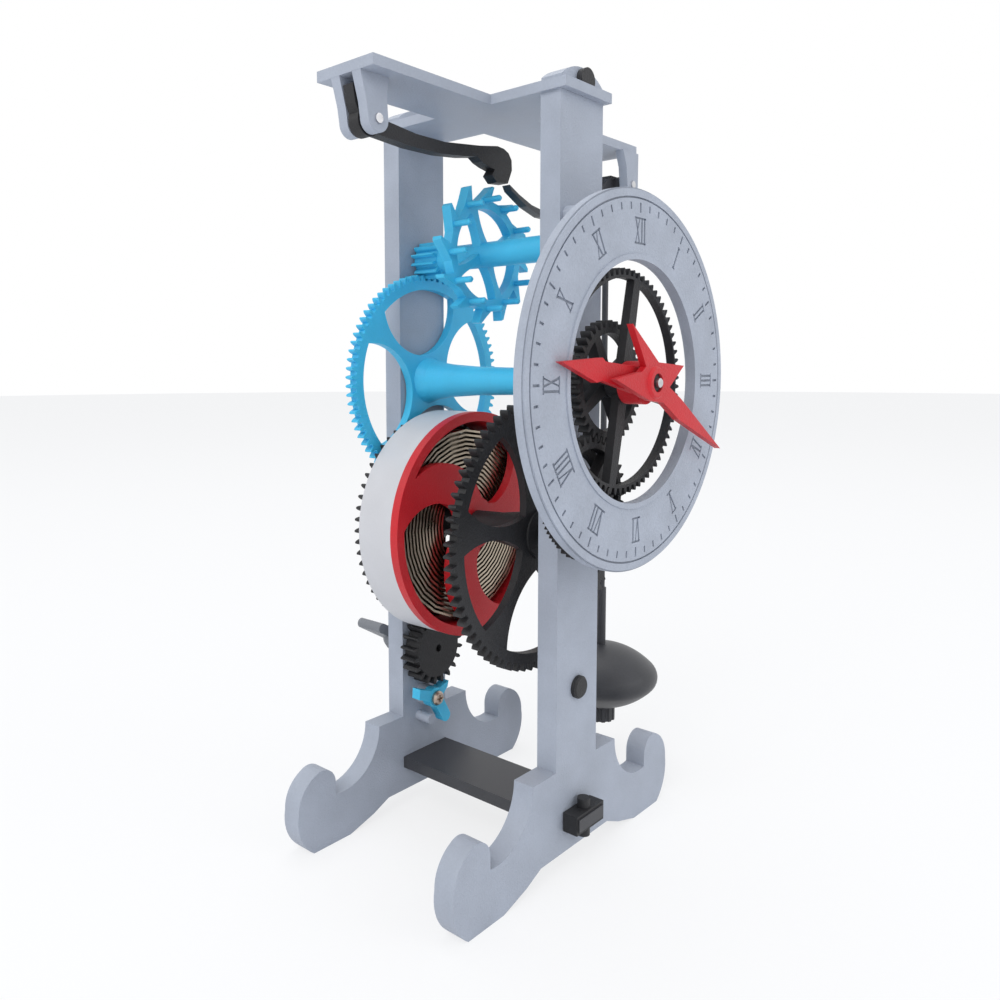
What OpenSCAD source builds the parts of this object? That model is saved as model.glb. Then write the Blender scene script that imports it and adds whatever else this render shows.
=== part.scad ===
// Pendulum clock model in millimetres. X runs right seen from the dial, Y runs back, Z is up.
// Sizes are read with the front post centred on X = 0 and its front face on Y = 0.
// place() then moves the origin under the middle of the bounding box.

/* [Plates] */
// Thickness of the front and back plates
plate_t = 8; // [6:0.1:10]
// Outside depth over both plates
depth = 82; // [78:0.1:90]
// Half width of a post
post_half = 12.5; // [11.5:0.1:14]
// Half width of the step at the foot of a post
step_half = 25.6; // [23:0.1:28]
// Height of that step
step_z = 37.2; // [35:0.1:39]
// Underside of the top plate
deck_z = 265.55; // [264:0.05:268]
// Thickness of the top plate
deck_t = 3.35; // [3:0.05:4.5]
// Half width of the tongue through the top plate
tongue_half = 12.2; // [10:0.1:12.4]
// Rise of the tongue above the top plate
tongue_rise = 5.8; // [5:0.1:7]
// Radius of the tongue's rounded top
tongue_r = 19; // [17:0.1:24]

/* [Feet] */
// Height of the arch under the middle
arch_z = 6.8; // [5:0.1:8.5]
// Where the arch ends
arch_x = 20.9; // [19:0.1:23]
// Where the foot comes down to the floor
toe_x = 41; // [36:0.1:44]
// Inner edge of the scroll's head
head_x = 48; // [46:0.1:50]
// Radius of the scroll's hollow
hollow_r = 19; // [18:0.1:20]
// Radius of the head's top
head_r = 6.5; // [5.5:0.1:7.5]
// Height of the head's top centre
head_z = 23.2; // [21:0.1:25]
// Radius of the foot's outer round
heel_r = 16.5; // [15:0.1:18]

/* [Top plate] */
// Reach of the arm over the detent
arm_left = 68.4; // [66:0.1:72]
// Reach of the arm over the pendulum
arm_right = 83.8; // [83.8:0.1:88]
// Half width of these arms
arm_half = 12.84; // [11:0.1:14]
// Half width of the arms over the posts
lap_half = 13.75; // [13.2:0.05:15]
// Overhang past the plates
lap_over = 2.7; // [1:0.1:4]
// Thickness of an ear
ear_t = 3.8; // [3:0.1:4]
// Gap between the ears of the detent
ear_gap_l = 5.8; // [5.6:0.1:7]
// Gap between the ears of the pendulum
ear_gap_r = 18; // [17:0.1:20]
// Drop of both pins below the top plate
pin_drop = 13.05; // [12:0.05:14.5]
// Radius of an ear's round end
ear_r = 4.2; // [3.6:0.1:4.3]

/* [Cross bar] */
// Half width of the bar
bar_half = 12.35; // [11:0.1:14]
// Top of the bar
bar_z = 20.7; // [20:0.1:22]
// Thickness of the bar
bar_t = 4.5; // [3.5:0.1:5]
// Half width of its tenons
tenon_half = 7.6; // [7:0.1:8.2]
// Length of a tenon past the plate
tenon_out = 6.6; // [6.4:0.1:7]
// Half width of a locking block
block_half = 8.4; // [8.3:0.1:9]
// Height of a locking block
block_h = 6.8; // [6.2:0.1:7.4]
// Depth of a locking block
block_d = 5.8; // [5.6:0.1:6]
// Radius of a locking pin
lock_r = 2.3; // [2:0.1:2.4]
// Length of a locking pin
lock_l = 13.5; // [12:0.1:15]

/* [Axles] */
// Height of the winding arbor
wind_z = 64; // [63.5:0.1:64.5]
// Height of the barrel arbor
barrel_z = 117; // [116.5:0.1:117.5]
// Height of the hands arbor
hands_z = 171.2; // [170.8:0.1:171.6]
// Height of the escape arbor
escape_z = 217.4; // [217:0.1:217.8]
// Radius of the thin steel axles
axle_r = 1.5; // [1.3:0.05:1.6]
// Radius of the barrel axle
barrel_axle_r = 2; // [1.8:0.05:2.2]
// Radial clearance of a turning bore
run_fit = 0.06; // [0.03:0.01:0.09]
// Radial clearance of a fixed bore
press_fit = 0.02; // [0.01:0.01:0.05]
// Height of the front peg
peg_z = 64.6; // [62:0.1:68]
// Radius of the front peg
peg_r = 4; // [3:0.1:5]

/* [Wheels] */
// Height of a wheel tooth over the pitch circle, in modules
add_w = 1; // [0.9:0.01:1]
// Height of a pinion leaf over the pitch circle, in modules
add_p = 0.9; // [0.8:0.01:0.9]
// Depth of a tooth under the pitch circle, in modules
dedendum = 1.25; // [1.2:0.01:1.3]
// Front of the great wheel's teeth
great_y = 15.3; // [15:0.1:15.6]
// Thickness of the great wheel
great_t = 3.4; // [3:0.1:3.8]
// Inside radius of the great wheel's rim
great_in = 42.7; // [41:0.1:43.2]
// From the front of the second wheel to the back plate
second_gap = 3.9; // [3.8:0.1:4.5]
// Thickness of the second wheel
second_t = 3.4; // [3:0.1:3.5]
// Inside radius of the second wheel's rim
second_in = 35.3; // [34:0.1:36.5]
// Inside radius of the barrel gear's rim
barrel_in = 36; // [34:0.1:37]

/* [Barrel] */
// Outside radius of the drum
drum_r = 42.6; // [42:0.1:43.4]
// Thickness of the pale band
band_t = 1.8; // [1.2:0.1:2.1]
// Thickness of the red wall
wall_t = 1.7; // [1:0.1:2.4]
// Length of the drum with its cover
drum_l = 19.5; // [19:0.1:19.8]
// Thickness of the cover
cover_t = 3.5; // [3:0.1:4]
// Thickness of the barrel gear
gear_t = 4.1; // [3.9:0.1:4.5]
// From the back of the barrel gear to the back plate
gear_gap = 4.4; // [4.3:0.1:4.8]
// Radius of the spring's first coil
coil_start = 12.4; // [12:0.1:14]
// Room between the last coil and the wall
coil_room = 2.9; // [2.4:0.1:3.4]
// Thickness of the spring strip
coil_t = 0.8; // [0.6:0.05:0.9]
// Number of coils
coil_turns = 14; // [10:1:15]

/* [Escape wheel] */
// Tip radius of the ratchet teeth
ratchet_r = 25.2; // [24:0.1:25.6]
// Outside radius of the rim
esc_rim = 20; // [19:0.1:21]
// Inside radius of the rim
esc_in = 16.5; // [15:0.1:17.5]
// Front of the wheel plate, behind the middle of the clock
esc_shift = 0; // [-0.4:0.1:0.6]
// Thickness of the wheel plate
esc_t = 4; // [3:0.1:5]
// Number of teeth and of pins
esc_n = 12; // [12:1:12]
// Radius of the pin circle
pins_r = 19.6; // [19:0.1:19.8]
// Radius of a pin
pin_size = 1.1; // [0.9:0.05:1.2]
// Length of a pin
pin_len = 7; // [5:0.1:7.5]

/* [Motion work] */
// X of the intermediate stud
inter_x = -10.5; // [-10.6:0.05:-10.4]
// Radius of the intermediate stud
stud_r = 1.2; // [1:0.05:1.25]
// Module of the small drive in front of the post
drive_m = 0.645; // [0.645:0.001:0.645]
// Radius of the minute tube
minute_r = 3; // [2.8:0.05:3.2]
// Radius of the hour tube
hour_r = 5; // [4.8:0.05:5.4]

/* [Dial] */
// Outside radius of the dial
dial_r = 61.5; // [60:0.1:63]
// Inside radius of the dial
dial_in = 39.2; // [38:0.1:40]
// Front face of the dial, in front of the post
dial_front = 22.3; // [22:0.1:22.6]
// Thickness of the dial
dial_t = 3.4; // [3:0.1:3.6]
// Depth of the engraving
engrave = 0.6; // [0.4:0.05:1]
// Width of an engraved stroke
stroke = 0.8; // [0.6:0.05:1]
// Radius of the engraved circle
circle_r = 58.4; // [57:0.1:59.5]
// Outside radius of the raised inner rim
rim_r = 41; // [40.4:0.1:42]
// Mean radius of the numerals
numeral_r = 48.2; // [47:0.1:49]
// Height of a numeral
numeral_h = 8.6; // [7:0.1:9.5]
// Radius of a dial standoff
stand_r = 3; // [2.4:0.1:3.4]

/* [Hands] */
// Radius of the hour hand's hub
hour_hub = 7; // [6.4:0.1:7.6]
// Reach of the hour hand
hour_reach = 48; // [44:0.1:50]
// Radius of the minute hand's hub
minute_hub = 5.4; // [5:0.1:6]
// Reach of the minute hand
minute_reach = 53.5; // [50:0.1:56]
// Thickness of the hands' blades
blade_t = 2.2; // [1.8:0.1:2.6]
// Front of the hands axle
tip_y = 30.6; // [30:0.1:32]

/* [Winding] */
// Gap between the drum and the winding gear
wind_gap = 0.5; // [0.3:0.1:0.8]
// Play between the winding gear and the back plate
wind_play = 0.6; // [0.4:0.1:1]
// Radius of the winding shaft
wind_r = 3.5; // [3:0.1:4]
// Half length of the key's wing
wing_half = 14.5; // [13:0.1:16]
// Thickness of the wing
wing_t = 4; // [3:0.1:5]
// Reach of the key behind the back plate
key_l = 18; // [16:0.1:21]

/* [Click] */
// X of the click screw
click_x = -1.5; // [-2:0.1:-1]
// Height of the click screw
click_z = 44; // [43.5:0.1:44.5]
// From the front of the click to the back plate
click_gap = 8; // [7.6:0.1:8.2]
// Thickness of the click
click_t = 4; // [3.5:0.1:4.2]
// Radius of the screw head
screw_head = 2.85; // [2.6:0.05:3]

/* [Detent] */
// X of the detent pin
detent_x = -61; // [-61.5:0.1:-60.5]
// Front of the detent, ahead of the middle of the clock
detent_gap = 2.9; // [2.8:0.1:3]
// Thickness of the detent
detent_t = 4.4; // [4:0.1:4.6]

/* [Pendulum] */
// X of the pendulum pin
pend_x = 79.5; // [79:0.1:80]
// The pendulum's plane, ahead of the middle of the clock
pend_shift = 1; // [0.8:0.1:1.2]
// Front of the horn, ahead of the middle of the clock
horn_gap = 6.8; // [6.7:0.1:7]
// Thickness of the horn
horn_t = 3.5; // [3:0.1:3.6]
// Radius of the upper rod
rod_r = 1.35; // [1.2:0.05:1.6]
// Radius of the lower sleeve
sleeve_r = 2; // [1.8:0.05:2.4]
// Top of the lower sleeve
sleeve_z = 78; // [74:0.1:84]
// Height of the bob's middle
bob_z = 38.5; // [37:0.1:40]
// Radius of the bob about the rod
bob_half = 25; // [23:0.1:27]
// Half height of the bob
bob_r = 14; // [13:0.1:15]
// Radius of the bob's rounded rim
bob_end = 6; // [5:0.1:7]
// Radius of the rating nut
nut_r = 6.5; // [5.5:0.1:7]
// Underside of the rating nut
nut_z = 18; // [17.5:0.1:19]

/* [Hidden] */
$fn = 64;
grey = [0.62, 0.65, 0.69];
black = [0.1, 0.1, 0.11];
blue = [0.13, 0.66, 0.85];
red = [0.75, 0.06, 0.09];
pale = [0.85, 0.86, 0.87];
steel = [0.72, 0.72, 0.74];
back_y = depth - plate_t;
mid_y = depth / 2;
pin_z = deck_z - pin_drop;
second_y = back_y - second_gap;
gear_end = back_y - gear_gap;
drum_end = gear_end - gear_t;
cover_y = drum_end - drum_l;
band_in = drum_r - band_t;
wall_in = band_in - wall_t;
coil_pitch = (wall_in - coil_room - coil_start) / coil_turns;
esc_y = mid_y + esc_shift;
esc_pinion_y = second_y - 8.1;
wind_end = back_y - wind_play;
key_end = depth + key_l;
click_y = back_y - click_gap;
detent_y = mid_y - detent_gap;
pend_y = mid_y - pend_shift;
horn_y = mid_y - horn_gap;
head_cx = head_x + head_r;
heel_x = head_x + 1.2;
hollow_x = step_half + hollow_r;
outer_x = heel_x + heel_r;
cheek_r = 12.9;
cheek_x = head_cx - 2;
cheek_z = 17;
deck_top = deck_z + deck_t;
tongue_z = deck_top + tongue_rise;
peg_shaft = 1.3;
peg_head = 3.9;
peg_top_z = deck_top + 1.5;
lock_y = block_d / 2 + 0.3;
esc_a = 114;
ratchet_back = 22.4;
hour_front = -17.5;
great_n = 75;
pinion_n = 10;
great_m = 2 * (hands_z - barrel_z) / (great_n + pinion_n);
second_n = 78;
esc_pinion_n = 12;
second_m = 2 * (escape_z - hands_z) / (second_n + esc_pinion_n);
barrel_n = 60;
wind_n = 20;
wind_m = 2 * (barrel_z - wind_z) / (barrel_n + wind_n);
motion_n = 38;
hour_n = 72;
hour_pinion_n = 6;
drive_n = 53;
drive_pinion_n = 8;
drive_d = drive_m * (drive_n + drive_pinion_n) / 2;
inter_z = barrel_z + sqrt(drive_d * drive_d - inter_x * inter_x);
motion_d = sqrt(inter_x * inter_x + pow(hands_z - inter_z, 2));
motion_m = motion_d / motion_n;
hour_m = 2 * motion_d / (hour_n + hour_pinion_n);
drive_a = atan2(inter_z - barrel_z, inter_x);
motion_a = atan2(hands_z - inter_z, -inter_x);
second_end = second_y + second_t;
dial_back = -dial_front + dial_t;
ear_l = [ear_gap_l / 2, ear_gap_l / 2 + ear_t];
ear_r_y = [ear_gap_r / 2, ear_gap_r / 2 + ear_t];
ear_mid = mid_y - 0.5;
main_c = (bob_half * bob_half - 2 * bob_half * bob_end + bob_r * bob_r) / (2 * (bob_r - bob_end));
bob_c = main_c - bob_r;
bob_e = bob_half - bob_end;
bob_t = main_c * bob_e / (main_c - bob_end);
// Corners of the bounding box, from the parts that set them
min_x = -max(arm_left, outer_x);
max_x = pend_x + bob_half;
min_y = -tip_y;
max_y = key_end;
wind_y = drum_end + wind_gap;
origin_x = (min_x + max_x) / 2;
origin_y = (min_y + max_y) / 2;
least_gap = (coil_pitch - coil_t) * cos(180 / 24);
echo(least_gap_between_coils = least_gap);
echo(origin = [origin_x, origin_y]);

module place() {
  translate([-origin_x, -origin_y, 0]) children();
}

// A front view shape (X right, Z up) given thickness from y0 back to y1
module slab(y0, y1) {
  translate([0, y1, 0]) rotate([90, 0, 0]) linear_extrude(height = y1 - y0) children();
}

// A profile of radius and Y turned about an axis along Y
module turned(x, z) {
  translate([x, 0, z]) rotate([-90, 0, 0]) rotate_extrude() children();
}

module rod_y(x, z, r, y0, y1) {
  turned(x, z) translate([0, y0]) square([r, y1 - y0]);
}

module at(x, z) {
  translate([x, z]) children();
}

// Point of a tooth flank: radius r, half thickness h, side s, about the angle a
function flank(r, h, s, a) = [r * cos(a + s * h / r * 180 / PI), r * sin(a + s * h / r * 180 / PI)];

// Four points of one flank from root to tip: radius and half thickness in modules
function tooth_rows(n, m, add, thick) = [
  [n * m / 2 - dedendum * m, thick * 1.35 * m],
  [n * m / 2, thick * m],
  [n * m / 2 + 0.55 * add * m, thick * 0.74 * m],
  [n * m / 2 + add * m, 0.2 * m]];

module teeth(n, m, add, thick, phase) {
  rows = tooth_rows(n, m, add, thick);
  polygon([for (i = [0 : n - 1]) for (k = [0 : 7])
    flank(rows[k < 4 ? k : 7 - k][0], rows[k < 4 ? k : 7 - k][1], k < 4 ? -1 : 1,
      phase + i * 360 / n)]);
}

// Leaves of a pinion, thin at the root so the spaces stay open
module leaves(n, m, phase) {
  rr = n * m / 2 - dedendum * m;
  rp = n * m / 2;
  polygon([for (i = [0 : n - 1]) for (k = [0 : 5])
    flank([rr, rp, rp + add_p * m, rp + add_p * m, rp, rr][k],
      [0.5, 0.6, 0.22, 0.22, 0.6, 0.5][k] * m, k < 3 ? -1 : 1, phase + i * 360 / n)]);
}

module spokes(n, r0, r1, w0, w1, phase) {
  for (i = [0 : n - 1]) rotate(phase + i * 360 / n)
    polygon([[r0, -w0 / 2], [r1, -w1 / 2], [r1, w1 / 2], [r0, w0 / 2]]);
}

// Spokes with hollow sides that flare into the hub and the rim
module flared_spokes(n, r0, r1, w, bend, phase) {
  mid = (r0 + r1) / 2;
  for (i = [0 : n - 1]) rotate(phase + i * 360 / n) difference() {
    translate([r0, -bend * 0.36]) square([r1 - r0, bend * 0.72]);
    translate([mid, bend + w / 2]) circle(r = bend);
    translate([mid, -bend - w / 2]) circle(r = bend);
  }
}

module ring(ro, ri) {
  difference() {
    circle(r = ro);
    circle(r = ri);
  }
}

module half_foot() {
  difference() {
    polygon([[0, arch_z], [arch_x, arch_z], [arch_x + 8, arch_z * 0.5], [toe_x, 0], [head_x, 0],
      [head_x, step_z], [0, step_z]]);
    at(hollow_x, step_z) circle(r = hollow_r);
  }
  at(head_cx, head_z) circle(r = head_r);
  polygon([[head_x, 0], [heel_x + heel_r * 0.5, 0], [outer_x - 2, head_z - 8],
    [head_cx, head_z + head_r * 0.9], [head_cx, head_z], [head_x, head_z]]);
  intersection() {
    at(cheek_x, cheek_z) circle(r = cheek_r);
    at(head_cx, head_z - 12) square([20, 30]);
  }
  intersection() {
    at(heel_x, heel_r * 0.82) circle(r = heel_r);
    at(head_cx, 0) square([20, head_z]);
  }
}

module plate_outline() {
  half_foot();
  mirror([1, 0]) half_foot();
  translate([-post_half, step_z - 1]) square([2 * post_half, deck_z - step_z + 1]);
  intersection() {
    translate([-tongue_half, deck_z - 1]) square([2 * tongue_half, tongue_rise + deck_t + 2]);
    at(0, tongue_z - tongue_r) circle(r = tongue_r);
  }
}

module plate_holes() {
  translate([-tenon_half - 0.05, bar_z - bar_t - 0.05]) square([2 * tenon_half + 0.1, bar_t + 0.1]);
  at(0, hands_z) circle(r = axle_r + press_fit);
  at(0, escape_z) circle(r = axle_r + press_fit);
  at(0, peg_top_z) circle(r = peg_shaft + press_fit);
}

module front_plate() {
  color(grey) place() difference() {
    slab(0, plate_t) difference() {
      plate_outline();
      plate_holes();
      at(0, barrel_z) circle(r = 3 + run_fit);
    }
    rod_y(0, peg_z, 2.5 + press_fit, -1, 5.5);
    rod_y(inter_x, inter_z, stud_r + press_fit, -1, 6);
    rod_y(9, 116, 1.6, -1, 4);
    rod_y(8, 226, 1.6, -1, 4);
    rod_y(-8, 226, 1.6, -1, 4);
  }
}

module back_plate() {
  color(grey) place() {
    slab(back_y, depth) difference() {
      plate_outline();
      plate_holes();
      at(0, barrel_z) circle(r = barrel_axle_r + press_fit);
      at(0, wind_z) circle(r = wind_r + run_fit);
      at(click_x, click_z) circle(r = 1.5 + press_fit);
    }
    turned(click_x, click_z) translate([1.5 + press_fit, click_y + click_t + 0.15])
      square([2.5, back_y - click_y - click_t]);
    rod_y(-3.4, 35.3, 2, click_y + 0.8, back_y + 0.5);
  }
}

module ear_left() {
  polygon([[-arm_left, deck_z + 0.2], [detent_x + 4.6, deck_z + 0.2], [detent_x + 3.6, deck_z - 5],
    [detent_x + ear_r, pin_z], [detent_x - ear_r, pin_z], [detent_x - 4.9, pin_z + 4.5]]);
  at(detent_x, pin_z) circle(r = ear_r);
}

module ear_right() {
  polygon([[pend_x - 8, deck_z + 0.2], [arm_right, deck_z + 0.2], [pend_x + ear_r, pin_z],
    [pend_x - ear_r, pin_z], [pend_x - 5.2, deck_z - 6]]);
  at(pend_x, pin_z) circle(r = ear_r);
}

module ear_pair(gap, y) {
  slab(y - gap[1], y - gap[0]) children();
  slab(y + gap[0], y + gap[1]) children();
}

module top_plate() {
  color(grey) place() {
    translate([0, 0, deck_z]) linear_extrude(height = deck_t) difference() {
      union() {
        translate([-arm_left, mid_y - arm_half]) square([arm_left + arm_right, 2 * arm_half]);
        translate([-lap_half, -lap_over]) square([2 * lap_half, depth + 2 * lap_over]);
      }
      for (y = [-0.1, back_y - 0.1]) translate([-tongue_half - 0.1, y])
        square([2 * tongue_half + 0.2, plate_t + 0.2]);
    }
    ear_pair(ear_l, ear_mid) difference() {
      ear_left();
      at(detent_x, pin_z) circle(r = axle_r + press_fit);
    }
    ear_pair(ear_r_y, pend_y) difference() {
      ear_right();
      at(pend_x, pin_z) circle(r = axle_r + press_fit);
    }
  }
}

module cross_bar() {
  color(black) place() difference() {
    translate([0, 0, bar_z - bar_t]) linear_extrude(height = bar_t) {
      translate([-bar_half, plate_t]) square([2 * bar_half, back_y - plate_t]);
      translate([-tenon_half, -tenon_out]) square([2 * tenon_half, depth + 2 * tenon_out]);
    }
    for (y = [-lock_y, depth + lock_y]) translate([0, y, 0]) cylinder(r = lock_r + press_fit, h = 60);
  }
}

module lock_block(y) {
  difference() {
    translate([-block_half, y - block_d / 2, bar_z - bar_t / 2 - block_h / 2])
      cube([2 * block_half, block_d, block_h]);
    translate([-tenon_half - 0.05, y - 10, bar_z - bar_t - 0.05])
      cube([2 * tenon_half + 0.1, 20, bar_t + 0.1]);
    translate([0, y, 0]) cylinder(r = lock_r + press_fit, h = 60);
  }
}

module lock_blocks() {
  color(black) place() {
    lock_block(-lock_y);
    lock_block(depth + lock_y);
  }
}

module lock_pins() {
  color(black) place() for (y = [-lock_y, depth + lock_y])
    translate([0, y, bar_z - bar_t / 2 - lock_l / 2]) cylinder(r = lock_r, h = lock_l);
}

// A round peg through the tongue; its head is cut flat over the top plate
module top_peg(y, side) {
  rod_y(0, peg_top_z, peg_shaft, side > 0 ? -1 : back_y - 1, side > 0 ? plate_t + 1 : depth + 1);
  difference() {
    rod_y(0, peg_top_z, peg_head, side > 0 ? y - 2.3 : y + 0.1, side > 0 ? y - 0.1 : y + 2.3);
    translate([-9, y - 9, deck_top - 9.95]) cube([18, 18, 10]);
  }
}

module top_pegs() {
  color(black) place() {
    top_peg(0, 1);
    top_peg(depth, -1);
  }
}

module front_peg() {
  color(black) place() {
    rod_y(0, peg_z, 2.5, -1, 5);
    turned(0, peg_z) polygon([[0, -2], [peg_r - 0.6, -2], [peg_r, -1.4], [peg_r, -0.05], [0, -0.05]]);
  }
}

// Numerals are strings of I, V and X, cut as strokes between a top and a bottom line
function wide(c) = c == "I" ? 1.7 : 3.6;
function run(s, i) = i <= 0 ? 0 : run(s, i - 1) + wide(s[i - 1]);

module stroke_line(a, b, w) {
  d = b - a;
  translate(a) rotate(atan2(d[1], d[0])) translate([0, -w / 2]) square([norm(d), w]);
}

module letter(c, h) {
  if (c == "I") stroke_line([0, -h / 2], [0, h / 2], stroke);
  if (c == "V") {
    stroke_line([-1.2, h / 2], [0, -h / 2], stroke);
    stroke_line([1.2, h / 2], [0, -h / 2], stroke * 0.7);
  }
  if (c == "X") {
    stroke_line([-1.2, h / 2], [1.2, -h / 2], stroke);
    stroke_line([1.2, h / 2], [-1.2, -h / 2], stroke * 0.7);
  }
}

module numeral(s) {
  w = run(s, len(s));
  for (i = [0 : len(s) - 1]) translate([run(s, i) + wide(s[i]) / 2 - w / 2, 0])
    letter(s[i], numeral_h - stroke);
  for (z = [-1, 1]) translate([-w / 2, z * (numeral_h - stroke) / 2 - stroke * 0.4])
    square([w, stroke * 0.8]);
}

module dial_marks() {
  names = ["XII", "I", "II", "III", "IV", "V", "VI", "VII", "VIII", "IX", "X", "XI"];
  for (i = [0 : 59]) rotate(-i * 6) translate([0, i % 5 == 0 ? 53.9 : 54.7])
    translate([-0.4, 0]) square([0.8, i % 5 == 0 ? 3.2 : 2.2]);
  for (i = [0 : 11]) rotate(-i * 30) translate([0, numeral_r]) numeral(names[i]);
  ring(circle_r + 0.3, circle_r - 0.3);
}

module dial() {
  color(grey) place() translate([0, 0, hands_z]) {
    slab(-dial_front + engrave, dial_back) ring(dial_r, dial_in);
    slab(-dial_front, -dial_front + engrave) difference() {
      ring(dial_r - 0.5, dial_in);
      dial_marks();
    }
    slab(-dial_front - 0.4, -dial_front) ring(rim_r, dial_in);
  }
}

module standoffs() {
  color(grey) place() for (p = [[9, 116], [8, 226], [-8, 226]]) {
    rod_y(p[0], p[1], stand_r, dial_back, 0);
    rod_y(p[0], p[1], 1.58, -0.5, 3.8);
  }
}

module hands_axle() {
  color(steel) place() turned(0, hands_z)
    polygon([[0, -tip_y], [axle_r - 0.3, -tip_y], [axle_r, -tip_y + 0.3], [axle_r, depth - 0.4],
      [0, depth - 0.4]]);
}

module barrel_axle() {
  color(steel) place() rod_y(0, barrel_z, barrel_axle_r, 5.5, depth - 0.4);
}

module escape_axle() {
  color(steel) place() rod_y(0, escape_z, axle_r, 0.4, depth - 0.4);
}

module inter_stud() {
  color(steel) place() rod_y(inter_x, inter_z, stud_r, -18.4, 5.8);
}

module detent_pin() {
  color(steel) place() rod_y(detent_x, pin_z, axle_r, ear_mid - ear_l[1] - 0.6, ear_mid + ear_l[1] + 0.6);
}

module pendulum_pin() {
  color(steel) place()
    rod_y(pend_x, pin_z, axle_r, pend_y - ear_r_y[1] - 0.6, pend_y + ear_r_y[1] + 0.6);
}

module click_screw() {
  color(steel) place() difference() {
    turned(click_x, click_z) polygon([[0, click_y - 1.9], [screw_head - 0.7, click_y - 1.9],
      [screw_head, click_y - 1.1], [screw_head, click_y - 0.1], [1.5, click_y - 0.1],
      [1.5, depth - 1], [0, depth - 1]]);
    slab(click_y - 2.5, click_y - 1) {
      at(click_x, click_z) square([3, 0.7], center = true);
      at(click_x, click_z) square([0.7, 3], center = true);
    }
  }
}

module great_wheel() {
  color(black) place() difference() {
    union() {
      translate([0, 0, barrel_z]) {
        slab(great_y, great_y + great_t) difference() {
          teeth(great_n, great_m, add_w, 0.66, 90);
          circle(r = great_in);
        }
        slab(great_y + 0.3, great_y + great_t - 0.3) flared_spokes(6, 7, great_in + 0.5, 4.5, 30, 52);
        slab(-7.2, -3) leaves(drive_pinion_n, drive_m, drive_a);
      }
      turned(0, barrel_z) polygon([[0, -3.5], [3, -3.5], [3, great_y - 1.4], [9, great_y - 0.4],
        [9.5, great_y + great_t], [7, cover_y - 22], [5.6, cover_y - 12],
        [5.2, cover_y - 0.5], [0, cover_y - 0.5]]);
    }
    rod_y(0, barrel_z, barrel_axle_r + run_fit, 5, 60);
  }
}

module second_wheel() {
  color(blue) place() difference() {
    union() {
      translate([0, 0, hands_z]) {
        slab(second_y, second_end) difference() {
          teeth(second_n, second_m, add_w, 0.66, 90);
          circle(r = second_in);
        }
        slab(second_y, second_end) flared_spokes(4, 6, second_in + 0.5, 3.6, 20, 55);
        slab(great_y - 1, great_y + great_t + 1) leaves(pinion_n, great_m, 270 + 180 / pinion_n);
      }
      turned(0, hands_z) polygon([[0, 8.5], [4.2, 8.5], [4.2, great_y + great_t],
        [4.9, great_y + great_t + 1], [5, second_y - 40.1], [5.4, second_y - 25.1],
        [6.3, second_y - 12.1], [7.4, second_y - 4.1], [8.8, second_y], [8.8, second_end],
        [0, second_end]]);
    }
    rod_y(0, hands_z, axle_r + run_fit, 0, depth);
  }
}

// Thin teeth that hook forward
module ratchet() {
  polygon([for (i = [0 : esc_n - 1]) for (k = [0 : 4])
    let (a = esc_a + i * 360 / esc_n + [0, -4, -1, 6, 17][k],
      r = [esc_rim - 0.2, ratchet_r, ratchet_r, ratchet_back, esc_rim - 0.2][k])
    [r * cos(a), r * sin(a)]]);
}

module escape_wheel() {
  color(blue) place() difference() {
    union() {
      translate([0, 0, escape_z]) {
        slab(esc_y, esc_y + esc_t) difference() {
          ratchet();
          circle(r = esc_in);
        }
        slab(esc_y, esc_y + esc_t) flared_spokes(4, 4, esc_in + 0.4, 2.6, 26, 25);
        slab(esc_pinion_y, second_end - 0.1) leaves(esc_pinion_n, second_m, 270 + 180 / esc_pinion_n);
      }
      turned(0, escape_z) polygon([[0, 8.6], [4.6, 8.6], [4.6, esc_pinion_y],
        [0, esc_pinion_y]]);
      for (i = [0 : esc_n - 1]) rotate_y(esc_a + 8 + i * 360 / esc_n) turned(pins_r, 0)
        polygon([[0, esc_y - pin_len], [pin_size * 0.6, esc_y - pin_len],
          [pin_size, esc_y - pin_len + 0.6], [pin_size, esc_y + 1], [0, esc_y + 1]]);
    }
    rod_y(0, escape_z, axle_r + run_fit, 0, depth);
  }
}

// Turns a piece about the escape arbor, anticlockwise seen from the dial
module rotate_y(a) {
  translate([0, 0, escape_z]) rotate([0, -a, 0]) children();
}

module inter_wheel() {
  color(black) place() difference() {
    union() {
      translate([inter_x, 0, inter_z]) {
        slab(-7, -4) difference() {
          teeth(drive_n, drive_m, add_w, 0.6, drive_a + 180 + 180 / drive_n);
          circle(r = 14);
        }
        slab(-7, -4) spokes(4, 3, 14.5, 4, 3, 20);
        slab(-12, -8) difference() {
          teeth(motion_n, motion_m, add_w, 0.62, motion_a);
          circle(r = 16.3);
        }
        slab(-12, -8) spokes(4, 3, 16.8, 4.5, 3.5, 50);
        slab(-17.8, -12) leaves(hour_pinion_n, hour_m, motion_a);
      }
      rod_y(inter_x, inter_z, 4, -12.4, -0.6);
    }
    rod_y(inter_x, inter_z, stud_r + run_fit, -30, 0);
  }
}

module minute_wheel() {
  color(black) place() difference() {
    union() {
      translate([0, 0, hands_z]) {
        slab(-12, -8) difference() {
          teeth(motion_n, motion_m, add_w, 0.62, motion_a + 180 + 180 / motion_n);
          circle(r = 16.3);
        }
        slab(-12, -8) spokes(4, 3, 16.8, 4.5, 3.5, 30);
      }
      turned(0, hands_z) polygon([[0, -28.8], [minute_r, -28.8], [minute_r, -12], [5, -12],
        [5, -0.6], [0, -0.6]]);
    }
    rod_y(0, hands_z, axle_r + run_fit, -40, 0);
  }
}

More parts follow.
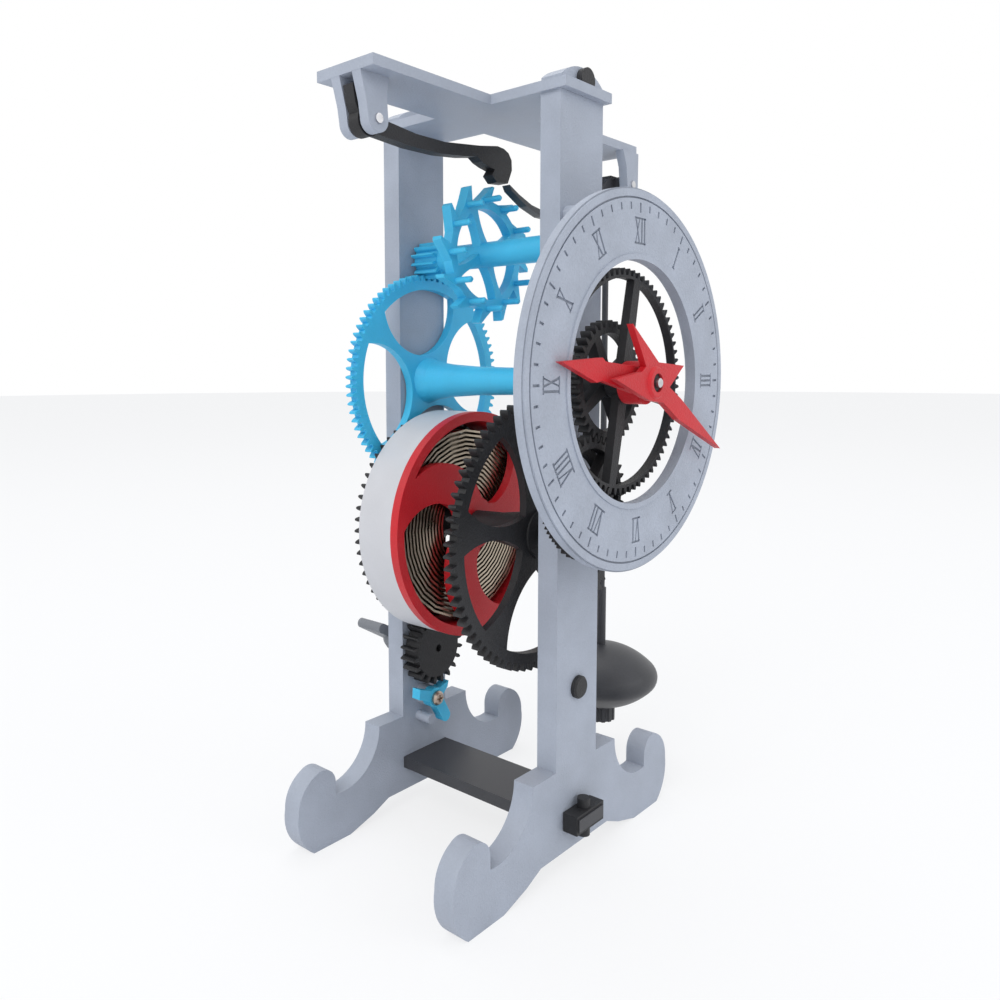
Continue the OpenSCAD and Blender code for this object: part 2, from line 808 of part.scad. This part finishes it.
module hour_wheel() {
  color(black) place() difference() {
    union() {
      translate([0, 0, hands_z]) {
        slab(hour_front, -14.5) difference() {
          teeth(hour_n, hour_m, add_w, 0.62, motion_a + 180 + 180 / hour_n);
          circle(r = 33.8);
        }
        slab(hour_front, -14.5) spokes(4, 3.8, 34.2, 5, 4, 78);
      }
      rod_y(0, hands_z, hour_r, hour_front, -12.5);
    }
    rod_y(0, hands_z, minute_r + run_fit, -40, 0);
  }
}

// Tube that carries the hour hand in front of its wheel
module hour_pipe() {
  color(black) place() difference() {
    rod_y(0, hands_z, hour_r, -25, hour_front);
    rod_y(0, hands_z, minute_r + run_fit, -40, 0);
  }
}

module hour_hand() {
  r = hour_reach;
  color(red) place() difference() {
    union() {
      rod_y(0, hands_z, hour_hub, -25.2, -18.4);
      translate([0, 0, hands_z]) slab(-25.2, -25.2 + blade_t) rotate(172)
        polygon([[0, -4.6], [r * 0.52, -3.3], [r * 0.56, -4.2], [r, 0], [r * 0.6, 3.6],
          [r * 0.54, 2.6], [0, 4.6]]);
    }
    rod_y(0, hands_z, hour_r + press_fit, -40, 0);
  }
}

module minute_hand() {
  r = minute_reach;
  color(red) place() difference() {
    union() {
      turned(0, hands_z) polygon([[0, -29.6], [minute_hub - 0.8, -29.6], [minute_hub, -28.8],
        [minute_hub, -26], [0, -26]]);
      translate([0, 0, hands_z]) slab(-28.8, -28.8 + blade_t)
        polygon([r * [0.89, -0.456], [15.4, -12.4], [5, -6.5], [-4, -5.5], [-11.8, -2.9],
          [-24.6, 1.5], [-9, 3.6], [-6.4, 5.2], [-15, 18.2], [1.5, 6.5], [18.5, 5.4],
          [9, -1.6], [17, -5.6]]);
    }
    rod_y(0, hands_z, minute_r + press_fit, -40, 0);
  }
}

module barrel_gear() {
  color(black) place() difference() {
    union() {
      translate([0, 0, barrel_z]) slab(drum_end, gear_end) {
        difference() {
          teeth(barrel_n, wind_m, add_w, 0.62, -90);
          circle(r = barrel_in);
        }
        spokes(5, 6, barrel_in + 1, 8, 6, 54);
      }
      turned(0, barrel_z) polygon([[0, cover_y + cover_t], [6, cover_y + cover_t], [6, drum_end - 3.5],
        [9, drum_end], [9, gear_end], [0, gear_end]]);
    }
    rod_y(0, barrel_z, barrel_axle_r + run_fit, 0, depth);
  }
}

module drum_band() {
  color(pale) place() turned(0, barrel_z) translate([band_in, cover_y + cover_t])
    square([drum_r - band_in, drum_end - cover_y - cover_t]);
}

// One broad arm of the cover: a crescent between two circles that reaches into the wall
module swirl(i) {
  rotate(i * 120 + 10) mirror([1, 0]) difference() {
    translate([19, 4]) circle(r = wall_in - 15.1);
    translate([24.5, -5]) circle(r = wall_in - 19.6);
  }
}

module barrel_cover() {
  color(red) place() difference() {
    union() {
      translate([0, 0, barrel_z]) slab(cover_y, cover_y + cover_t) {
        ring(drum_r, wall_in);
        intersection() {
          circle(r = wall_in + 0.5);
          union() {
            for (i = [0 : 2]) swirl(i);
          }
        }
        circle(r = 10);
      }
      turned(0, barrel_z) translate([wall_in, cover_y + 1])
        square([band_in - wall_in - 0.02, drum_end - cover_y - 1]);
    }
    rod_y(0, barrel_z, barrel_axle_r + run_fit, 0, depth);
  }
}

function coil(r, i) = (r + coil_pitch * i / 24) * [cos(i * 15), sin(i * 15)];

// A flat strip wound as a spiral, its outer end turned out to the drum wall
module mainspring() {
  n = coil_turns * 24;
  end_r = coil_start + coil_pitch * coil_turns;
  color(steel) place() translate([0, 0, barrel_z]) slab(cover_y + cover_t + 2, drum_end - 2) {
    polygon(concat([for (i = [0 : n]) coil(coil_start + coil_t, i)],
      [for (i = [n : -1 : 0]) coil(coil_start, i)]));
    translate([end_r + 0.1, -1]) square([wall_in - end_r - 0.15, 2]);
  }
}

module winding_gear() {
  color(black) place() difference() {
    union() {
      translate([0, 0, wind_z]) slab(wind_y, wind_end)
        leaves(wind_n, wind_m, 90 + 180 / wind_n);
      rod_y(0, wind_z, wind_r, wind_end - 2, depth + 10);
    }
    rod_y(0, wind_z, 1.5, wind_y - 1, wind_y + 4);
  }
}

module winding_key() {
  color(black) place() difference() {
    union() {
      turned(0, wind_z) polygon([[0, depth + 0.5], [6, depth + 0.5], [6, depth + 9], [5, depth + 11],
        [0, depth + 11]]);
      translate([0, 0, wind_z]) slab(depth + 5, key_end) rotate(-30) {
        square([2 * wing_half - wing_t, wing_t], center = true);
        at(wing_half - wing_t / 2, 0) circle(r = wing_t / 2);
        at(-wing_half + wing_t / 2, 0) circle(r = wing_t / 2);
      }
    }
    rod_y(0, wind_z, wind_r + press_fit, depth - 1, depth + 10.05);
  }
}

module click() {
  color(blue) place() translate([click_x, 0, click_z]) slab(click_y, click_y + click_t) difference() {
    union() {
      circle(r = 4);
      polygon([[2.5, -0.8], [6.6, 2.6], [7.3, 5.1], [-0.8, 2.5]]);
      polygon([[-0.8, 2.6], [-9.5, 5.8], [-9.8, 1.7], [-1.8, -1.6]]);
      polygon([[-0.8, -2.6], [3.5, -9.5], [8.2, -8.6], [2.6, 1.4]]);
      at(5.8, -9.2) circle(r = 2.4);
    }
    circle(r = 1.5 + run_fit);
  }
}

module detent() {
  color(black) place() slab(detent_y, detent_y + detent_t) difference() {
    union() {
      at(detent_x, pin_z) circle(r = 4.6);
      translate([0, pin_z]) polygon([[detent_x + 1.5, -3.1], [-54, -3.5], [-42, -4.3],
        [-28, -4.1], [-16, -2.9], [-9, -1.7], [-6.4, -3.1], [-3, -4.1], [1, -4.8], [-0.6, -6.9], [2.2, -9.1],
        [8.6, -8.6], [11, -3.5], [10.8, 0.1], [9, 2.4], [6.2, 3.5], [2.5, 3.8],
        [-7.3, 2.2], [-25.8, 0.1], [-40, 0.1], [-53, 1.5], [detent_x + 2.2, 3.1]]);
      translate([0, pin_z]) polygon([[detent_x - 0.5, 2.3], [detent_x - 1.4, 5.5],
        [detent_x - 2.6, 10.3], [detent_x - 6.6, 10.1], [detent_x - 5.6, 4.5], [detent_x - 3, -0.1]]);
    }
    at(detent_x, pin_z) circle(r = axle_r + run_fit);
  }
}

module pendulum_head() {
  color(black) place() difference() {
    union() {
      rod_y(pend_x, pin_z, 4, pend_y - ear_gap_r / 2 + 0.5, pend_y + ear_gap_r / 2 - 0.5);
      translate([pend_x - 5.5, pend_y - 5.5, pin_z - 2.6]) cube([11, 11, 6.6]);
      translate([pend_x, pend_y, pin_z - 16]) cylinder(r = 2.6, h = 14);
      slab(horn_y, horn_y + horn_t)
        translate([0, pin_z]) polygon([[pend_x, 4], [pend_x - 7, 2.7], [66, -1.9], [54, -8.7],
          [42, -13.9], [33, -16.1], [24.5, -16.6], [18.1, -15.6], [10.4, -12.8], [4.7, -10.1], [6, -12.1],
          [15, -16.5], [24.4, -19.1], [34, -19.3], [44, -17.1], [57, -11.5], [68, -5.7],
          [pend_x, -3.5]]);
    }
    rod_y(pend_x, pin_z, axle_r + run_fit, 0, depth);
    translate([pend_x, pend_y, pin_z - 17]) cylinder(r = rod_r + press_fit, h = 12);
  }
}

module rod() {
  color(black) place() translate([pend_x, pend_y, sleeve_z - 8])
    cylinder(r = rod_r, h = pin_z - 5.1 - sleeve_z + 8);
}

module sleeve() {
  color(black) place() translate([pend_x, pend_y, 0]) difference() {
    translate([0, 0, nut_z - 1]) cylinder(r = sleeve_r, h = sleeve_z - nut_z + 1);
    translate([0, 0, sleeve_z - 8.1]) cylinder(r = rod_r + press_fit, h = 9);
  }
}

// Half section of the bob: two flat arcs that run smoothly into a round rim
module bob_section() {
  intersection() {
    translate([0, -bob_c]) circle(r = main_c);
    translate([0, bob_c]) circle(r = main_c);
    translate([0, -bob_r]) square([bob_t, 2 * bob_r]);
  }
  intersection() {
    translate([bob_e, 0]) circle(r = bob_end);
    translate([bob_e, -bob_r]) square([bob_half, 2 * bob_r]);
  }
}

module bob() {
  color(black) place() translate([pend_x, pend_y, bob_z]) difference() {
    rotate_extrude() bob_section();
    translate([0, 0, -20]) cylinder(r = sleeve_r + press_fit, h = 40);
  }
}

module rating_nut() {
  color(black) place() translate([pend_x, pend_y, nut_z]) linear_extrude(height = 6.4) difference() {
    circle(r = nut_r);
    circle(r = sleeve_r + press_fit);
    for (i = [0 : 11]) rotate(i * 30) translate([nut_r + 0.3, 0]) circle(r = 1);
  }
}

front_plate();
back_plate();
top_plate();
cross_bar();
lock_blocks();
lock_pins();
top_pegs();
front_peg();
dial();
standoffs();
hands_axle();
barrel_axle();
escape_axle();
inter_stud();
detent_pin();
pendulum_pin();
click_screw();
great_wheel();
second_wheel();
escape_wheel();
inter_wheel();
minute_wheel();
hour_wheel();
hour_pipe();
hour_hand();
minute_hand();
barrel_gear();
drum_band();
barrel_cover();
mainspring();
winding_gear();
winding_key();
click();
detent();
pendulum_head();
rod();
sleeve();
bob();
rating_nut();
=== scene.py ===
import math
import bpy
from mathutils import Matrix, Vector


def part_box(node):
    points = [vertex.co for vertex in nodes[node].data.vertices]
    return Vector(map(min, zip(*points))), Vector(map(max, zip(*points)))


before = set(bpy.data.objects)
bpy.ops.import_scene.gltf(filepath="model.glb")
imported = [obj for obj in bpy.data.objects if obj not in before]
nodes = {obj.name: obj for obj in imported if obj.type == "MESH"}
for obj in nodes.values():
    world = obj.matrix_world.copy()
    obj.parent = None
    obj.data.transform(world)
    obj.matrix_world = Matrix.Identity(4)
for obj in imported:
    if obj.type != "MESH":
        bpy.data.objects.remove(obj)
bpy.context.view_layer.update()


# Colours, linear
GREY = (0.395, 0.43, 0.5)
BLACK = (0.016, 0.016, 0.018)
SMOOTH_BLACK = (0.045, 0.046, 0.052)
BLUE = (0.06, 0.53, 0.82)
RED = (0.58, 0.01, 0.018)
PALE = (0.6, 0.6, 0.62)
KEY_GREY = (0.2, 0.21, 0.23)
STEEL = (0.62, 0.62, 0.64)
SPRING_STEEL = (0.5, 0.43, 0.34)
SCREW_STEEL = (0.5, 0.4, 0.33)
WHITE = (1, 1, 1)

# Where the dark and the light of a mottled colour are reached, as shares of the noise
DARK_AT, LIGHT_AT = 0.3, 0.7

# Printed plastic. Noise scales are in patches a metre, heights and distances in metres.
GRAIN_SCALE = 1500.0
MOTTLE_SCALE = 70.0
MOTTLE_SHARE = 0.6  # Of the colour's variation; the rest comes from the grain
LAYER_SCALE = 900.0  # Lines 0.35 mm apart, as a wave of scale 1 repeats every 2 pi / 20 metres
LAYER_WAVER = 0.4
FACE_FALLOFF = 3.0  # How fast the grain fades where a flat face curves into a wall
GRAIN_EVERYWHERE = 0.1
PRINT_BUMP = 0.55
PRINT_RELIEF = 0.0004
PRINT_ROUGH_SPREAD = 0.16
PRINT_SPECULAR = 0.4
GLOW_DISTANCE = (0.002, 0.004, 0.005)  # How far red, green and blue light travel inside
GLOW_SCALE = 0.5

# Steel
STEEL_SCALE = 500.0
STEEL_DARK, STEEL_LIGHT = 0.85, 1.1
STEEL_BUMP = 0.15
STEEL_RELIEF = 0.0001
STEEL_ROUGH_SPREAD = 0.25
STEEL_ROUGH_DROP = 0.1

# Dial, in metres: its rim stands proud of the face, and the marks are cut below the face
RIM_RISE = 0.0004
CUT_DEPTH = 0.0006
CUT_BAND = (-0.00025, 0.0002)  # Before and behind the floor of a cut
# Painted shade: the share of the colour kept on the floor of a cut
CUT_SHADE = 0.74
LEAST_FACING = 0.6  # Keeps the side walls of the cuts plain

# Floor and background
FLOOR_RADIUS = 6.0
FLOOR_SIDES = 96
FLOOR_COLOUR = (0.86, 0.87, 0.9)
FLOOR_ROUGH = 0.75
FLOOR_SPECULAR = 0.15
FLOOR_WHITE = 0.75  # Share of plain white that is seen in the floor; the rest shows the shadow
SKY_COLOUR = (0.93, 0.96, 1.0)
SKY_STRENGTH = 0.7

# Lamps: name, place, diameter in metres, power in watts. All face the middle of the clock.
LAMP_AIM = (0, 0, 0.14)
LAMPS = [
    ("key", (-1.3, -0.3, 1.3), 1.2, 12.5),
    ("fill", (0.5, -1.5, 0.9), 1.2, 4.8),
    ("top", (0.2, 0.3, 1.8), 1.0, 6.0),
]

# Camera, solved from the edges of the plates in the photo
CAMERA_AT = (-0.26963, -0.20091, 0.17655)
YAW, PITCH, ROLL = (math.radians(v) for v in (47.98, 5.01, -0.207))
SENSOR_WIDTH = 36.0
LENS = 31.452
SHIFT_X, SHIFT_Y = 0.0517, -0.0567
CLIP_START = 0.01


# Shader nodes
def new_node(nt, kind, **inputs):
    n = nt.nodes.new(kind)
    for k, v in inputs.items():
        n.inputs[k].default_value = v
    return n


def math_node(nt, op, a, b=None, clamp=False):
    n = new_node(nt, "ShaderNodeMath")
    n.operation = op
    n.use_clamp = clamp
    for i, v in enumerate((a, b)):
        if v is None:
            continue
        if isinstance(v, (int, float)):
            n.inputs[i].default_value = v
        else:
            nt.links.new(v, n.inputs[i])
    return n.outputs[0]


def plus(nt, a, b):
    return math_node(nt, "ADD", a, b)


def times(nt, a, b):
    return math_node(nt, "MULTIPLY", a, b)


def noise(nt, place, scale, detail, roughness):
    n = new_node(nt, "ShaderNodeTexNoise", Scale=scale, Detail=detail, Roughness=roughness)
    nt.links.new(place, n.inputs["Vector"])
    return n.outputs["Fac"]


def layer_lines(nt, place, axis):
    n = new_node(nt, "ShaderNodeTexWave", Scale=LAYER_SCALE, Distortion=LAYER_WAVER, Detail=1.0)
    n.wave_type = "BANDS"
    n.bands_direction = axis
    nt.links.new(place, n.inputs["Vector"])
    return n.outputs["Fac"]


def object_place(nt):
    return new_node(nt, "ShaderNodeTexCoord").outputs["Object"]


def axes_of(nt, vector):
    n = new_node(nt, "ShaderNodeSeparateXYZ")
    nt.links.new(vector, n.inputs[0])
    return n.outputs


def facing(nt, axis):
    """How squarely the surface faces along an axis, either way, from 0 to 1."""
    normal = new_node(nt, "ShaderNodeNewGeometry").outputs["Normal"]
    return math_node(nt, "ABSOLUTE", axes_of(nt, normal)[axis])


def shade(rgb, k):
    return tuple(min(1.0, c * k) for c in rgb)


def link_colour(nt, surface, fac, dark, light):
    ramp = new_node(nt, "ShaderNodeValToRGB")
    ends = ramp.color_ramp.elements
    for end, position, rgb in zip(ends, (DARK_AT, LIGHT_AT), (dark, light)):
        end.position = position
        end.color = (*rgb, 1)
    nt.links.new(fac, ramp.inputs[0])
    nt.links.new(ramp.outputs[0], surface.inputs["Base Color"])


def link_roughness(nt, surface, fac, spread, least):
    nt.links.new(plus(nt, times(nt, fac, spread), least), surface.inputs["Roughness"])


def link_bump(nt, surface, height, strength, distance):
    bump = new_node(nt, "ShaderNodeBump", Strength=strength, Distance=distance)
    nt.links.new(height, bump.inputs["Height"])
    nt.links.new(bump.outputs[0], surface.inputs["Normal"])


def node_of_type(nt, kind):
    return next(n for n in nt.nodes if n.type == kind)


# Materials
def new_material(name):
    m = bpy.data.materials.new(name)
    m.use_nodes = True
    return m, m.node_tree, node_of_type(m.node_tree, "BSDF_PRINCIPLED")


def printed(name, rgb, rough, grain, lines, fleck, axis="Y", glow=0.0):
    """Plastic laid down in layers along an axis: lines on its side walls, grain on its flat faces."""
    m, nt, surface = new_material(name)
    place = object_place(nt)
    fine = noise(nt, place, GRAIN_SCALE, detail=3.0, roughness=0.6)
    broad = noise(nt, place, MOTTLE_SCALE, detail=3.0, roughness=0.5)

    along = facing(nt, axis)
    wall = math_node(nt, "SUBTRACT", 1.0, along, clamp=True)
    face = math_node(nt, "POWER", along, FACE_FALLOFF, clamp=True)
    line_height = times(nt, layer_lines(nt, place, axis), times(nt, wall, lines))
    grain_height = times(nt, fine, plus(nt, times(nt, face, grain), GRAIN_EVERYWHERE))
    link_bump(nt, surface, plus(nt, line_height, grain_height), PRINT_BUMP, PRINT_RELIEF)

    mottle = plus(nt, times(nt, broad, MOTTLE_SHARE), times(nt, fine, 1 - MOTTLE_SHARE))
    link_colour(nt, surface, mottle, shade(rgb, 1 - fleck), shade(rgb, 1 + fleck))
    link_roughness(nt, surface, broad, PRINT_ROUGH_SPREAD, rough - PRINT_ROUGH_SPREAD / 2)
    surface.inputs["Specular IOR Level"].default_value = PRINT_SPECULAR
    if glow:
        surface.inputs["Subsurface Weight"].default_value = glow
        surface.inputs["Subsurface Radius"].default_value = GLOW_DISTANCE
        surface.inputs["Subsurface Scale"].default_value = GLOW_SCALE
    return m


def metal(name, rgb, rough):
    m, nt, surface = new_material(name)
    patches = noise(nt, object_place(nt), STEEL_SCALE, detail=4.0, roughness=0.6)
    link_colour(nt, surface, patches, shade(rgb, STEEL_DARK), shade(rgb, STEEL_LIGHT))
    link_roughness(nt, surface, patches, STEEL_ROUGH_SPREAD, rough - STEEL_ROUGH_DROP)
    link_bump(nt, surface, patches, STEEL_BUMP, STEEL_RELIEF)
    surface.inputs["Metallic"].default_value = 1.0
    return m


def paint_cut_shade(m, floor_y, k):
    """Darkens the floor of cuts that face along Y with painted shade, where the cuts lie in shadow."""
    nt = m.node_tree
    colour = node_of_type(nt, "BSDF_PRINCIPLED").inputs["Base Color"]
    plain = colour.links[0].from_socket
    y = axes_of(nt, object_place(nt))["Y"]
    low, high = (floor_y + step for step in CUT_BAND)
    inside = times(nt, math_node(nt, "GREATER_THAN", y, low), math_node(nt, "LESS_THAN", y, high))
    flat = math_node(nt, "GREATER_THAN", facing(nt, "Y"), LEAST_FACING)

    mix = new_node(nt, "ShaderNodeMix")
    mix.data_type = "RGBA"
    mix.blend_type = "MULTIPLY"
    # A colour mix has its two colours at inputs 6 and 7, and its result at output 2
    first, second, result = mix.inputs[6], mix.inputs[7], mix.outputs[2]
    nt.links.new(times(nt, inside, flat), mix.inputs["Factor"])
    nt.links.new(plain, first)
    second.default_value = (k, k, k, 1)
    nt.links.new(result, colour)


grey = printed("grey_print", GREY, rough=0.5, grain=0.9, lines=0.3, fleck=0.1)
dial_grey = printed("dial_print", GREY, rough=0.5, grain=1.0, lines=0.3, fleck=0.14)
grey_deck = printed("grey_deck", GREY, rough=0.45, grain=0.5, lines=0.3, fleck=0.07, axis="Z")
black = printed("black_print", BLACK, rough=0.5, grain=0.9, lines=0.35, fleck=0.45)
black_smooth = printed("black_smooth", SMOOTH_BLACK, rough=0.42, grain=0.2, lines=0.2, fleck=0.2,
                       axis="Z")
blue = printed("blue_print", BLUE, rough=0.42, grain=0.4, lines=0.25, fleck=0.07, glow=0.15)
red = printed("red_print", RED, rough=0.4, grain=0.7, lines=0.3, fleck=0.12)
pale = printed("pale_print", PALE, rough=0.4, grain=0.4, lines=0.2, fleck=0.04)
key_grey = printed("key_print", KEY_GREY, rough=0.45, grain=0.5, lines=0.3, fleck=0.12)
steel = metal("steel_rod", STEEL, rough=0.3)
spring = metal("spring_strip", SPRING_STEEL, rough=0.28)
screw = metal("screw_steel", SCREW_STEEL, rough=0.32)

# The floors of the dial's cut marks get painted shade
dial_rim_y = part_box("dial")[0].y
paint_cut_shade(dial_grey, dial_rim_y + RIM_RISE + CUT_DEPTH, CUT_SHADE)

LOOKS = {
    grey: ["front_plate", "back_plate", "standoffs"],
    dial_grey: ["dial"],
    grey_deck: ["top_plate"],
    black: ["top_pegs", "front_peg", "lock_blocks", "lock_pins", "great_wheel", "inter_wheel",
            "minute_wheel", "hour_wheel", "hour_pipe", "barrel_gear", "winding_gear", "detent"],
    black_smooth: ["cross_bar", "pendulum_head", "rod", "sleeve", "bob", "rating_nut"],
    blue: ["second_wheel", "escape_wheel", "click"],
    red: ["hour_hand", "minute_hand", "barrel_cover"],
    pale: ["drum_band"],
    key_grey: ["winding_key"],
    steel: ["hands_axle", "barrel_axle", "escape_axle", "inter_stud", "detent_pin", "pendulum_pin"],
    screw: ["click_screw"],
    spring: ["mainspring"],
}


def dress(obj, material):
    if not obj.material_slots:
        obj.data.materials.append(material)
    for slot in obj.material_slots:
        slot.material = material


for material, names in LOOKS.items():
    for name in names:
        dress(nodes[name], material)


# Floor, background, lamps and camera
def background_seen(nt):
    """1 for rays that show the background itself: from the camera, off gloss and through glass."""
    path = new_node(nt, "ShaderNodeLightPath").outputs
    bent = math_node(nt, "MAXIMUM", path["Is Glossy Ray"], path["Is Transmission Ray"])
    return math_node(nt, "MAXIMUM", path["Is Camera Ray"], bent)


def link_mixed(nt, fac, lit, seen, out):
    mix = new_node(nt, "ShaderNodeMixShader")
    for i, socket in enumerate((fac, lit.outputs[0], seen.outputs[0])):
        nt.links.new(socket, mix.inputs[i])
    nt.links.new(mix.outputs[0], out.inputs["Surface"])


def floor_material():
    m, nt, surface = new_material("studio_floor")
    surface.inputs["Base Color"].default_value = (*FLOOR_COLOUR, 1)
    surface.inputs["Roughness"].default_value = FLOOR_ROUGH
    surface.inputs["Specular IOR Level"].default_value = FLOOR_SPECULAR
    white = new_node(nt, "ShaderNodeEmission", Color=(*WHITE, 1), Strength=1.0)
    share = times(nt, background_seen(nt), FLOOR_WHITE)
    link_mixed(nt, share, surface, white, node_of_type(nt, "OUTPUT_MATERIAL"))
    return m


def add_floor():
    bpy.ops.mesh.primitive_circle_add(vertices=FLOOR_SIDES, radius=FLOOR_RADIUS, fill_type="NGON",
                                      location=(0, 0, 0))
    floor = bpy.context.object
    floor.name = "floor"
    floor.data.materials.append(floor_material())


def add_world():
    world = bpy.data.worlds.new("studio")
    bpy.context.scene.world = world
    world.use_nodes = True
    nt = world.node_tree
    nt.nodes.clear()
    out = new_node(nt, "ShaderNodeOutputWorld")
    sky = new_node(nt, "ShaderNodeBackground", Color=(*SKY_COLOUR, 1), Strength=SKY_STRENGTH)
    white = new_node(nt, "ShaderNodeBackground", Color=(*WHITE, 1), Strength=1.0)
    link_mixed(nt, background_seen(nt), sky, white, out)


def add_lamp(name, place, diameter, power):
    data = bpy.data.lights.new(name, "AREA")
    data.shape = "DISK"
    data.size = diameter
    data.energy = power
    data.color = WHITE
    obj = bpy.data.objects.new(name, data)
    obj.location = place
    obj.rotation_euler = (Vector(LAMP_AIM) - Vector(place)).to_track_quat("-Z", "Y").to_euler()
    bpy.context.scene.collection.objects.link(obj)


def camera_pose():
    forward = Vector((math.sin(YAW) * math.cos(PITCH), math.cos(YAW) * math.cos(PITCH), -math.sin(PITCH)))
    level_right = Vector((math.cos(YAW), -math.sin(YAW), 0))
    level_up = level_right.cross(forward)
    right = level_right * math.cos(ROLL) + level_up * math.sin(ROLL)
    up = level_up * math.cos(ROLL) - level_right * math.sin(ROLL)
    pose = Matrix((right, up, -forward)).transposed().to_4x4()
    pose.translation = Vector(CAMERA_AT)
    return pose


def add_camera():
    data = bpy.data.cameras.new("photo_view")
    data.sensor_fit = "HORIZONTAL"
    data.sensor_width = SENSOR_WIDTH
    data.lens = LENS
    data.shift_x = SHIFT_X
    data.shift_y = SHIFT_Y
    data.clip_start = CLIP_START
    data.dof.use_dof = False
    camera = bpy.data.objects.new("photo_view", data)
    camera.matrix_world = camera_pose()
    bpy.context.scene.collection.objects.link(camera)
    bpy.context.scene.camera = camera


add_floor()
add_world()
for lamp in LAMPS:
    add_lamp(*lamp)
add_camera()
bpy.context.scene.view_settings.view_transform = "Standard"
